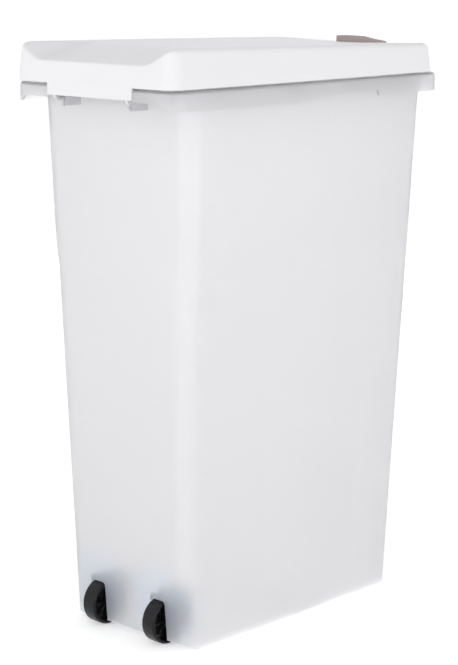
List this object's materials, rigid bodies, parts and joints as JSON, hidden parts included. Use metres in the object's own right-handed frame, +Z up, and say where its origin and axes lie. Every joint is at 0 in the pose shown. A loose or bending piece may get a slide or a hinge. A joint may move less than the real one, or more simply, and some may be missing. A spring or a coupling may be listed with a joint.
{
  "type": "pet food storage bin",
  "caption": "Tall tapered translucent storage bin on small rear wheels, with a wide rim and a white hinged lid held by a press latch.",
  "frame": {"origin": "centre of the bounding box at the floor, midway along the rim", "axes": "+Z up, +Y towards the latch end, +X towards the side whose wheel is wheel_right"},
  "size_m": [0.2304, 0.409, 0.5919],
  "materials": {
    "tub_plastic": "milky translucent plastic, satin",
    "lid_plastic": "white plastic, soft gloss",
    "latch_plastic": "taupe plastic, satin",
    "wheel_plastic": "black plastic, satin gloss",
    "seal_rubber": "soft pale grey rubber",
    "pin_steel": "drawn steel",
    "spring_steel": "spring steel wire"
  },
  "bodies": {
    "bin": {"bin_body": "tub_plastic", "hinge_pin_left": "pin_steel", "hinge_pin_right": "pin_steel", "axle_left": "pin_steel", "axle_right": "pin_steel"},
    "lid_cover": {"lid": "lid_plastic", "lid_seal": "seal_rubber", "latch_spring": "spring_steel"},
    "latch": {"latch_lever": "latch_plastic", "latch_pin": "pin_steel"},
    "left_wheel": {"wheel_left": "wheel_plastic"},
    "right_wheel": {"wheel_right": "wheel_plastic"}
  },
  "joints": [
    {"name": "lid_hinge", "type": "hinge", "parent": "bin", "child": "lid_cover", "pos_m": [0, -0.1975, 0.5436], "axis": [1, 0, 0], "range_deg": [0, 105]},
    {"name": "latch_pivot", "type": "hinge", "parent": "lid_cover", "child": "latch", "pos_m": [0, 0.19, 0.579], "axis": [1, 0, 0], "range_deg": [0, 9], "stiffness_Nm_per_rad": 0.1, "springref_deg": -17.19},
    {"name": "left_wheel_spin", "type": "hinge", "parent": "bin", "child": "left_wheel", "pos_m": [-0.043, -0.1522, 0.023], "axis": [1, 0, 0], "continuous": true},
    {"name": "right_wheel_spin", "type": "hinge", "parent": "bin", "child": "right_wheel", "pos_m": [0.043, -0.1522, 0.023], "axis": [1, 0, 0], "continuous": true}
  ]
}
